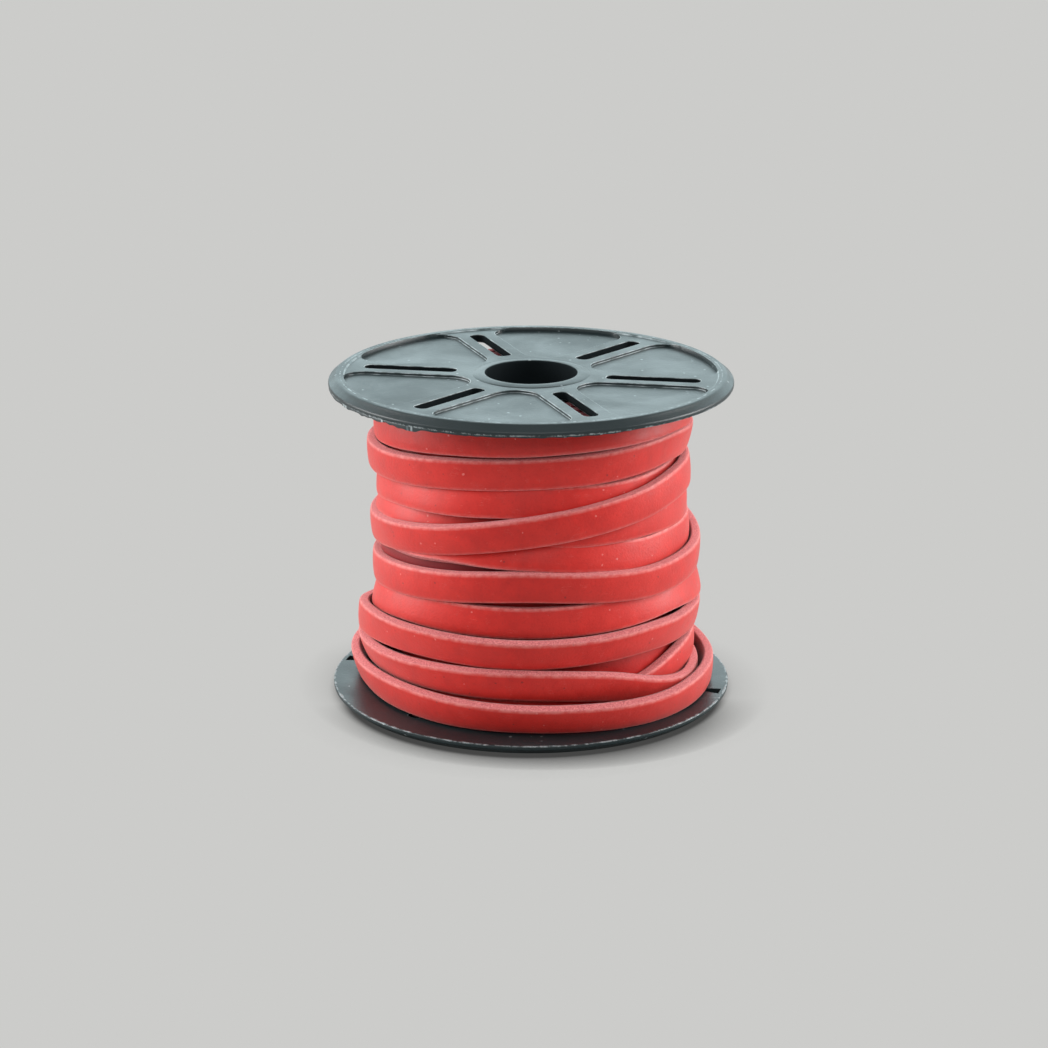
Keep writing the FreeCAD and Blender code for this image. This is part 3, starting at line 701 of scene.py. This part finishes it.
def barrel():
    """The tube between the flanges, its ends seated in them round the bore."""
    bore, seat_radius, tube = BORE_RADIUS, SEAT_RADIUS, TUBE_RADIUS
    half = arc((bore + 0.34, 0.34), 0.34, 180, 262, 6)
    half += [(bore + 0.9, 0.06), (seat_radius - 0.7, 0.155), (seat_radius - 0.05, 0.262)]
    half += [(seat_radius, 0.32), (seat_radius, FLANGE_THICKNESS)]
    half += [(tube - 0.05, FLANGE_THICKNESS), (tube, FLANGE_THICKNESS + 0.06)]
    points = half + [(tube, 14.0), (tube, 38.0)]
    points += [(x, SPOOL_HEIGHT - z) for x, z in reversed(half)]
    points += [(bore, 40.0), (bore, 26.0), (bore, 12.0)]
    piece = turn_up("spool_barrel", points, 128)
    smooth_by_angle(piece, 50)
    return piece


# The fin of flash: how far it hangs down, as a share of the deepest, by degrees travelled.
FLASH_DEEPEST = 0.95
FLASH_BEGINS, FLASH_ENDS, FLASH_TOOTH = 60, 205, 1.5
FLASH_TRAVEL = [60, 68, 80, 100, 118, 126, 134, 150, 175, 200]
FLASH_SHARE = [0, 0.25, 0.3, 0.35, 0.5, 1.0, 0.5, 0.5, 0.35, 0]


def rim_flash():
    """The thin ragged fin of flash that hangs from the top rim's lower edge, at the front left."""
    low = SPOOL_HEIGHT - FLANGE_THICKNESS
    profile = [(31.40, low + 0.25), (31.62, low + 0.25), (31.70, low + 0.10)]
    profile += [(31.70, low + 0.02), (31.60, low + 0.02), (31.50, low + 0.12)]
    piece = turn_up("spool_rim_flash", profile, 540)
    rng = np.random.default_rng(21)
    knots = np.arange(FLASH_BEGINS, FLASH_ENDS, FLASH_TOOTH)
    torn = np.interp(knots, FLASH_TRAVEL, FLASH_SHARE) * rng.uniform(0.45, 1.0, len(knots))
    hanging = piece.vertex_groups.new(name="hanging_edge")
    for point in piece.data.vertices:
        travelled = math.degrees(-math.atan2(point.co.y, point.co.x)) % 360
        if point.co.z < (low + 0.05) * MM:
            share = float(np.interp(travelled, knots, torn, left=0, right=0))
            hanging.add([point.index], share, "REPLACE")
    take(piece)
    pulled = piece.modifiers.new("pulled_down", "DISPLACE")
    pulled.direction = "Z"
    pulled.mid_level = 0.0
    pulled.strength = -FLASH_DEEPEST * MM
    pulled.vertex_group = hanging.name
    bpy.ops.object.modifier_apply(modifier=pulled.name)
    piece.vertex_groups.clear()
    smooth_by_angle(piece, 40)
    return piece


top = flange("spool_top_flange")
top.rotation_euler = (0, 0, math.radians(TOP_TURN))
top.location = (0, 0, (SPOOL_HEIGHT - FLANGE_THICKNESS) * MM)
settle(top)
bottom = flange("spool_bottom_flange")
bottom.rotation_euler = (math.radians(180), 0, math.radians(BOTTOM_TURN))
bottom.location = (0, 0, FLANGE_THICKNESS * MM)
settle(bottom)
tube = barrel()
fin = rim_flash()
seat(top, ["top_flange"])
seat(bottom, ["bottom_flange"])
seat(tube, ["barrel"])
seat(fin)


# Finishes.


def new_group(name, inputs, outputs):
    """A shader node group with these named inputs, set to their values, and named outputs."""
    tree = bpy.data.node_groups.new(name, "ShaderNodeTree")
    for label, kind, value in inputs:
        socket = tree.interface.new_socket(name=label, in_out="INPUT", socket_type=kind)
        if value is not None:
            socket.default_value = value
    for label in outputs:
        tree.interface.new_socket(name=label, in_out="OUTPUT", socket_type=NUMBER)
    return tree, tree.nodes.new("NodeGroupInput"), tree.nodes.new("NodeGroupOutput")


def node(tree, kind, links=None, values=None, **settings):
    """A node with its settings, its inputs' fixed values and its linked inputs."""
    made = tree.nodes.new(kind)
    for key, value in settings.items():
        setattr(made, key, value)
    for key, value in (values or {}).items():
        made.inputs[key].default_value = value
    for key, source in (links or {}).items():
        tree.links.new(source, made.inputs[key])
    return made


def feed_inputs(tree, made, pairs):
    """Link each numbered input to its source, or set it where a plain value is given."""
    for index, value in pairs:
        if isinstance(value, (int, float, tuple)):
            made.inputs[index].default_value = value
        else:
            tree.links.new(value, made.inputs[index])


def ramp(tree, source, stops):
    """A colour or a grey value for each place along the source's range."""
    made = node(tree, "ShaderNodeValToRGB", {"Fac": source})
    elements = made.color_ramp.elements
    while len(elements) < len(stops):
        elements.new(0.5)
    for element, (place, value) in zip(elements, stops):
        element.position = place
        element.color = value if isinstance(value, tuple) else (value, value, value, 1)
    return made.outputs["Color"]


def mix(tree, factor, a, b):
    """Colour a, going over to colour b as the factor goes from 0 to 1."""
    made = node(tree, "ShaderNodeMix", data_type="RGBA", blend_type="MIX")
    feed_inputs(tree, made, ((0, factor), (6, a), (7, b)))
    return made.outputs[2]


def maths(tree, operation, a, b=None, clamp=False):
    """One sum with one or two values."""
    made = node(tree, "ShaderNodeMath", operation=operation, use_clamp=clamp)
    feed_inputs(tree, made, ((0, a),) if b is None else ((0, a), (1, b)))
    return made.outputs[0]


def noise(tree, place, scale, **values):
    """Cloudy noise at this scale."""
    values = {"Scale": scale} | {key.title(): value for key, value in values.items()}
    return node(tree, "ShaderNodeTexNoise", {"Vector": place}, values).outputs["Fac"]


NUMBER, VECTOR = "NodeSocketFloat", "NodeSocketVector"


def grain_group():
    """Fine pebbled grain with a slow mottle."""
    inputs = [("Place", VECTOR, None), ("Scale", NUMBER, 3000.0), ("Mottle Scale", NUMBER, 250.0)]
    tree, feed, out = new_group("fine_grain", inputs, ["Height", "Mottle"])
    place, scale, mottle_scale = feed.outputs[0], feed.outputs[1], feed.outputs[2]
    at_grain = {"Vector": place, "Scale": scale}
    fine = node(tree, "ShaderNodeTexNoise", at_grain, {"Detail": 3.0, "Roughness": 0.6})
    cells = node(tree, "ShaderNodeTexVoronoi", at_grain, feature="DISTANCE_TO_EDGE")
    slow = node(tree, "ShaderNodeTexNoise", {"Vector": place, "Scale": mottle_scale},
                {"Detail": 4.0, "Roughness": 0.55})
    pebbles = maths(tree, "MULTIPLY", cells.outputs["Distance"], 0.6)
    tree.links.new(maths(tree, "ADD", fine.outputs["Fac"], pebbles), out.inputs[0])
    tree.links.new(slow.outputs["Fac"], out.inputs[1])
    return tree


def speck_group():
    """Small scattered spots."""
    inputs = [("Place", VECTOR, None), ("Scale", NUMBER, 500.0), ("Size", NUMBER, 0.12),
              ("Share", NUMBER, 0.2)]
    tree, feed, out = new_group("specks", inputs, ["Mask"])
    place, scale, size, share = feed.outputs[0], feed.outputs[1], feed.outputs[2], feed.outputs[3]
    bent = node(tree, "ShaderNodeTexNoise", {"Vector": place, "Scale": scale}, {"Detail": 2.0})
    push = node(tree, "ShaderNodeVectorMath", {0: bent.outputs["Color"]}, {3: 0.0006},
                operation="SCALE")
    pushed = node(tree, "ShaderNodeVectorMath", {0: place, 1: push.outputs[0]}, operation="ADD")
    cells = node(tree, "ShaderNodeTexVoronoi", {"Vector": pushed.outputs[0], "Scale": scale},
                 {"Randomness": 1.0})
    near = maths(tree, "LESS_THAN", cells.outputs["Distance"], size)
    split = node(tree, "ShaderNodeSeparateColor", {"Color": cells.outputs["Color"]})
    some = maths(tree, "LESS_THAN", split.outputs[0], share)
    tree.links.new(maths(tree, "MULTIPLY", near, some), out.inputs[0])
    return tree


def scratch_group():
    """Thin broken lines in one direction of the given place."""
    inputs = [("Place", VECTOR, None), ("Scale", NUMBER, 60.0), ("Share", NUMBER, 0.3)]
    tree, feed, out = new_group("scratches", inputs, ["Mask"])
    place, scale, share = feed.outputs[0], feed.outputs[1], feed.outputs[2]
    stretched = node(tree, "ShaderNodeMapping", {"Vector": place}, {"Scale": (1.0, 14.0, 14.0)})
    lines = node(tree, "ShaderNodeTexNoise", {"Vector": stretched.outputs[0], "Scale": scale},
                 {"Detail": 2.0, "Roughness": 0.5, "Distortion": 0.4})
    band = maths(tree, "ABSOLUTE", maths(tree, "SUBTRACT", lines.outputs["Fac"], 0.5))
    thin = maths(tree, "LESS_THAN", band, 0.006)
    patch = node(tree, "ShaderNodeTexNoise", {"Vector": place, "Scale": scale}, {"Detail": 1.0})
    bare = maths(tree, "SUBTRACT", 0.8, maths(tree, "MULTIPLY", share, 0.4))
    some = maths(tree, "GREATER_THAN", patch.outputs["Fac"], bare)
    tree.links.new(maths(tree, "MULTIPLY", thin, some), out.inputs[0])
    return tree


def ring_group():
    """A soft band at a radius from the spool's axis."""
    inputs = [("Place", VECTOR, None), ("Radius", NUMBER, 0.03), ("Width", NUMBER, 0.0005)]
    tree, feed, out = new_group("rim_band", inputs, ["Mask"])
    place, radius, width = feed.outputs[0], feed.outputs[1], feed.outputs[2]
    flat = node(tree, "ShaderNodeVectorMath", {0: place}, {1: (1.0, 1.0, 0.0)},
                operation="MULTIPLY")
    reach = node(tree, "ShaderNodeVectorMath", {0: flat.outputs[0]}, operation="LENGTH")
    off = maths(tree, "ABSOLUTE", maths(tree, "SUBTRACT", reach.outputs["Value"], radius))
    share = maths(tree, "SUBTRACT", 1.0, maths(tree, "DIVIDE", off, width), clamp=True)
    tree.links.new(share, out.inputs[0])
    return tree


GRAIN = grain_group()
SPECKS = speck_group()
SCRATCHES = scratch_group()
RIM_BAND = ring_group()


def group(tree, which, place, **values):
    """One of the shared groups at a place, with values for its other inputs."""
    made = node(tree, "ShaderNodeGroup", node_tree=which)
    tree.links.new(place, made.inputs["Place"])
    for key, value in values.items():
        made.inputs[key.replace("_", " ")].default_value = value
    return made.outputs


def new_material(name):
    """A material with its principled shader, and the object's own place for its patterns."""
    material = bpy.data.materials.new(name)
    material.use_nodes = True
    tree = material.node_tree
    tree.nodes.clear()
    shader = tree.nodes.new("ShaderNodeBsdfPrincipled")
    node(tree, "ShaderNodeOutputMaterial", {0: shader.outputs[0]})
    place = node(tree, "ShaderNodeTexCoord").outputs["Object"]
    return material, tree, shader, place


def finish(tree, shader, colour, roughness, height, strength, distance):
    """Link the colour, the roughness and a bump into the shader."""
    bump = node(tree, "ShaderNodeBump", {"Height": height},
                {"Strength": strength, "Distance": distance})
    tree.links.new(colour, shader.inputs["Base Color"])
    tree.links.new(roughness, shader.inputs["Roughness"])
    tree.links.new(bump.outputs[0], shader.inputs["Normal"])


def near_height(tree, height, level):
    """1 in a thin band round this height in millimetres, 0 elsewhere."""
    off = maths(tree, "ABSOLUTE", maths(tree, "SUBTRACT", height, level * MM))
    return maths(tree, "LESS_THAN", off, 0.12 * MM)


def black_plastic():
    """Moulded black plastic: fine grain, dust specks, scratches and pale marks along the rims,
    partly wear and partly painted highlight.
    """
    material, tree, shader, place = new_material("black_moulded_plastic")
    grain = group(tree, GRAIN, place, Scale=2600.0, Mottle_Scale=170.0)
    smudge = noise(tree, place, 75.0, detail=5.0, roughness=0.6, distortion=0.5)
    specks = group(tree, SPECKS, place, Scale=620.0, Size=0.13, Share=0.22)["Mask"]
    scratches = group(tree, SCRATCHES, place, Scale=45.0, Share=0.25)["Mask"]
    base = mix(tree, grain["Mottle"], (0.009, 0.018, 0.020, 1), (0.014, 0.026, 0.029, 1))
    base = mix(tree, maths(tree, "MULTIPLY", specks, 0.45), base, (0.42, 0.47, 0.48, 1))
    base = mix(tree, maths(tree, "MULTIPLY", scratches, 0.22), base, (0.30, 0.35, 0.36, 1))
    broken_patches = noise(tree, place, 560.0, detail=5.0, roughness=0.8)
    height = node(tree, "ShaderNodeSeparateXYZ", {"Vector": place}).outputs["Z"]
    on_top = maths(tree, "GREATER_THAN", height, (SPOOL_HEIGHT - FLANGE_THICKNESS / 2) * MM)
    low_rim = near_height(tree, height, FLANGE_THICKNESS)
    high_rim = near_height(tree, height, SPOOL_HEIGHT - 1.5)
    rims = maths(tree, "ADD", low_rim, high_rim)
    # Pale marks, partly wear and partly painted highlight: radius and width of the band, where,
    # from what mark, how much.
    wear_and_highlight = ((31.6, 1.0, rims, 0.52, 0.55), (29.9, 0.8, on_top, 0.54, 0.45))
    for radius, width, where, starts, amount in wear_and_highlight:
        band = group(tree, RIM_BAND, place, Radius=radius * MM, Width=width * MM)["Mask"]
        marks = maths(tree, "MULTIPLY", maths(tree, "MULTIPLY", band, broken_patches), where)
        share = ramp(tree, marks, [(starts - 0.10, 0.0), (starts, amount)])
        base = mix(tree, share, base, (0.46, 0.52, 0.53, 1))
    rough = ramp(tree, smudge, [(0.35, 0.30), (0.68, 0.46)])
    finish(tree, shader, base, rough, grain["Height"], 0.45, 0.06 * MM)
    shader.inputs["Specular IOR Level"].default_value = 0.43
    return material


def worn_and_highlit_edge():
    """The rounded edges of the moulding, paler in patches: partly wear, partly painted highlight.
    """
    material, tree, shader, place = new_material("worn_and_highlit_plastic_edge")
    grain = group(tree, GRAIN, place, Scale=2600.0, Mottle_Scale=480.0)
    share = ramp(tree, grain["Mottle"], [(0.40, 0.0), (0.64, 1.0)])
    base = mix(tree, share, (0.06, 0.085, 0.09, 1), (0.42, 0.48, 0.49, 1))
    rough = ramp(tree, grain["Mottle"], [(0.4, 0.32), (0.7, 0.55)])
    finish(tree, shader, base, rough, grain["Height"], 0.25, 0.06 * MM)
    return material


def painted_shade_inside():
    """The walls of the slots and the bore: near black as painted shade, and rough."""
    material, tree, shader, place = new_material("painted_shade_walls")
    grain = group(tree, GRAIN, place, Scale=1800.0, Mottle_Scale=300.0)
    base = mix(tree, grain["Mottle"], (0.004, 0.006, 0.007, 1), (0.012, 0.017, 0.019, 1))
    rough = ramp(tree, grain["Mottle"], [(0.3, 0.75), (0.7, 0.9)])
    finish(tree, shader, base, rough, grain["Height"], 0.3, 0.06 * MM)
    shader.inputs["Specular IOR Level"].default_value = 0.05
    return material


def leather_face(tree, place, mottle, pores):
    """Colour of the lace's smooth faces: clouded red with pores, specks and scuffs."""
    along_lace = node(tree, "ShaderNodeUVMap", uv_map="lace").outputs[0]
    cloud = noise(tree, place, 95.0, detail=3.0, roughness=0.6)
    pale = group(tree, SPECKS, place, Scale=900.0, Size=0.14, Share=0.09)["Mask"]
    dark = group(tree, SPECKS, place, Scale=760.0, Size=0.12, Share=0.14)["Mask"]
    scuffs = group(tree, SCRATCHES, along_lace, Scale=5.0, Share=0.45)["Mask"]
    mottled = ramp(tree, mottle, [(0.30, 0.0), (0.70, 1.0)])
    clouded = ramp(tree, cloud, [(0.42, 0.0), (0.72, 0.55)])
    pitted = ramp(tree, pores, [(0.34, 0.30), (0.46, 0.0)])
    face = mix(tree, mottled, (0.56, 0.011, 0.006, 1), (0.68, 0.018, 0.011, 1))
    face = mix(tree, clouded, face, (0.68, 0.030, 0.021, 1))
    face = mix(tree, pitted, face, (0.42, 0.012, 0.010, 1))
    face = mix(tree, maths(tree, "MULTIPLY", pale, 0.4), face, (0.82, 0.34, 0.31, 1))
    face = mix(tree, maths(tree, "MULTIPLY", dark, 0.6), face, (0.15, 0.014, 0.014, 1))
    return mix(tree, maths(tree, "MULTIPLY", scuffs, 0.35), face, (0.78, 0.24, 0.21, 1))


def red_leather(name, shine, nap):
    """Red leather: smooth faces, pale fuzzy cut edges, a pale corner line, and painted shade on the
    inner side and on turns deep in the winding.
    """
    material, tree, shader, place = new_material(name)
    cut, corner, painted_shade_mark = (
        node(tree, "ShaderNodeAttribute", attribute_name=word).outputs["Fac"]
        for word in SECTION_MARKS
    )
    grain = group(tree, GRAIN, place, Scale=2400.0, Mottle_Scale=420.0)
    pores = noise(tree, place, 2600.0, detail=3.0, roughness=0.7)
    fuzz = noise(tree, place, 7000.0, detail=4.0, roughness=0.75)
    tufts = noise(tree, place, 4200.0, detail=5.0, roughness=0.8)
    corner_breaks = noise(tree, place, 900.0, detail=3.0, roughness=0.7)
    edge = ramp(tree, tufts, [(0.30, (0.34, 0.065, 0.080, 1)), (0.48, (0.70, 0.165, 0.170, 1)),
                              (0.64, (0.90, 0.34, 0.33, 1))])
    colour = mix(tree, cut, leather_face(tree, place, grain["Mottle"], pores), edge)
    # Pale line along the corners: partly a burr, partly painted highlight.
    broken = ramp(tree, corner_breaks, [(0.38, 0.18), (0.60, 0.52)])
    burr_and_highlight = maths(tree, "MULTIPLY", corner, broken)
    colour = mix(tree, burr_and_highlight, colour, (0.90, 0.36, 0.33, 1))
    # Painted shade: dark purple on the inner side and on turns deep in the winding.
    colour = mix(tree, maths(tree, "MULTIPLY", painted_shade_mark, 0.88), colour, (0.11, 0.014, 0.022, 1))
    face_rough = ramp(tree, grain["Mottle"], [(0.3, 0.44), (0.7, 0.55)])
    rough = mix(tree, cut, face_rough, (0.9, 0.9, 0.9, 1))
    pitting = maths(tree, "ADD", maths(tree, "MULTIPLY", grain["Height"], 0.35),
                    maths(tree, "MULTIPLY", pores, 0.7))
    fibres = maths(tree, "MULTIPLY", fuzz, maths(tree, "MULTIPLY", cut, 2.0))
    finish(tree, shader, colour, rough, maths(tree, "ADD", pitting, fibres), 0.6, 0.1 * MM)
    shader.inputs["Specular IOR Level"].default_value = shine
    shader.inputs["Sheen Weight"].default_value = nap
    shader.inputs["Sheen Roughness"].default_value = 0.45
    shader.inputs["Sheen Tint"].default_value = (1.0, 0.80, 0.77, 1)
    return material


PLASTIC = black_plastic()
EDGE = worn_and_highlit_edge()
SHADE_INSIDE = painted_shade_inside()
LEATHER = red_leather("red_lace_leather", 0.42, 0.26)
# A copy with less shine and sheen for the inner turns, so that their painted shade stays dark.
SHADED_LEATHER = red_leather("red_lace_leather_painted_shade", 0.35, 0.08)

for piece in (top, bottom, tube):
    # Cutting leaves materials behind, so the three go in afresh and each face keeps its number.
    numbers = [face.material_index for face in piece.data.polygons]
    piece.data.materials.clear()
    for material in (PLASTIC, EDGE, SHADE_INSIDE):
        piece.data.materials.append(material)
    for face, number in zip(piece.data.polygons, numbers):
        face.material_index = number
# The bore's wall gets the painted shade finish too.
for face in tube.data.polygons:
    if math.hypot(face.center.x, face.center.y) < (BORE_RADIUS + 0.15) * MM:
        face.material_index = SHADED_WALL
for material in (PLASTIC, EDGE):
    fin.data.materials.append(material)
# A few faces of the torn flash get the pale edge finish, as painted glints.
glints = np.random.default_rng(5).random(len(fin.data.polygons)) < 0.05
for face, bright in zip(fin.data.polygons, glints):
    face.material_index = WORN_AND_HIGHLIT_EDGE if bright else PLAIN_FACE
outer_lace.data.materials.append(LEATHER)
inner_lace.data.materials.append(SHADED_LEATHER)


# Light and floor.

BACKDROP = (0.604, 0.604, 0.591, 1)
WINDING_MIDDLE, TOP_FACE = (0, 0, 0.03), (0, 0, 0.05)


def softbox(name, place, aim, size, power, tint=(1, 1, 1)):
    """A rectangular lamp at a place in metres, turned to a point."""
    clear_selection()
    bpy.ops.object.light_add(type="AREA", location=place)
    lamp = bpy.context.object
    lamp.name = name
    lamp.data.shape = "RECTANGLE"
    lamp.data.size, lamp.data.size_y = size
    lamp.data.energy = power
    lamp.data.color = tint
    direction = Vector(aim) - Vector(place)
    lamp.rotation_euler = direction.to_track_quat("-Z", "Y").to_euler()
    lamp.visible_camera = False


softbox("left_softbox", (-0.80, 0.10, 0.33), WINDING_MIDDLE, (0.50, 0.7), 9.2)
softbox("right_softbox", (0.80, 0.10, 0.33), WINDING_MIDDLE, (0.50, 0.7), 9.2)
softbox("front_panel", (0.0, -0.85, 0.66), WINDING_MIDDLE, (0.8, 0.5), 3.5)
softbox("back_panel", (0.0, 0.90, 0.42), TOP_FACE, (1.5, 0.7), 5.3, (0.74, 1.0, 1.06))


def shows_backdrop(tree):
    """1 for the camera's rays and for those that a reflection or glass sends on, 0 for the rest."""
    rays = node(tree, "ShaderNodeLightPath").outputs
    seen = maths(tree, "ADD", rays["Is Camera Ray"], rays["Is Glossy Ray"])
    return maths(tree, "ADD", seen, rays["Is Transmission Ray"], clamp=True)


def studio_world():
    """The plain backdrop, which lights the spool only faintly."""
    world = bpy.data.worlds.new("studio")
    scene.world = world
    world.use_nodes = True
    tree = world.node_tree
    tree.nodes.clear()
    plain = node(tree, "ShaderNodeBackground", values={"Color": BACKDROP, "Strength": 1.0})
    fill_light = {"Color": (0.95, 0.98, 1.0, 1), "Strength": 0.09}
    fill = node(tree, "ShaderNodeBackground", values=fill_light)
    shaders = {0: shows_backdrop(tree), 1: fill.outputs[0], 2: plain.outputs[0]}
    both = node(tree, "ShaderNodeMixShader", shaders)
    node(tree, "ShaderNodeOutputWorld", {0: both.outputs[0]})


def contact_shade(tree, place):
    """How light the floor is: darker close to the spool, and most so in front of it."""
    near = node(tree, "ShaderNodeAmbientOcclusion", values={"Distance": 0.010}, samples=24)
    spot = node(tree, "ShaderNodeSeparateXYZ", {"Vector": place}).outputs
    reach = 0.032
    ahead = maths(tree, "ADD", maths(tree, "MULTIPLY", spot["Y"], -1 / reach),
                  maths(tree, "MULTIPLY", spot["X"], 0.04 / reach))
    ahead = maths(tree, "MAXIMUM", maths(tree, "SUBTRACT", ahead, 0.25), 0.0)
    depth = maths(tree, "ADD", 0.65, maths(tree, "MULTIPLY", ahead, 5.7))
    return maths(tree, "MAXIMUM", maths(tree, "POWER", near.outputs["AO"], depth), 0.10)


def studio_floor():
    """The floor, seen in the backdrop's even grey and darkened where the spool stands on it."""
    clear_selection()
    bpy.ops.mesh.primitive_plane_add(size=4.0, location=(0, 0, 0))
    floor = bpy.context.object
    floor.name = "floor"
    material, tree, shader, place = new_material("pale_floor")
    shader.inputs["Base Color"].default_value = BACKDROP
    shader.inputs["Roughness"].default_value = 0.9
    shader.inputs["Specular IOR Level"].default_value = 0.1
    shade = contact_shade(tree, place)
    seen = node(tree, "ShaderNodeEmission", {"Strength": shade}, {"Color": BACKDROP})
    shaders = {0: shows_backdrop(tree), 1: shader.outputs[0], 2: seen.outputs[0]}
    both = node(tree, "ShaderNodeMixShader", shaders)
    out = next(n for n in tree.nodes if n.type == "OUTPUT_MATERIAL")
    tree.links.new(both.outputs[0], out.inputs[0])
    floor.data.materials.append(material)


studio_world()
studio_floor()
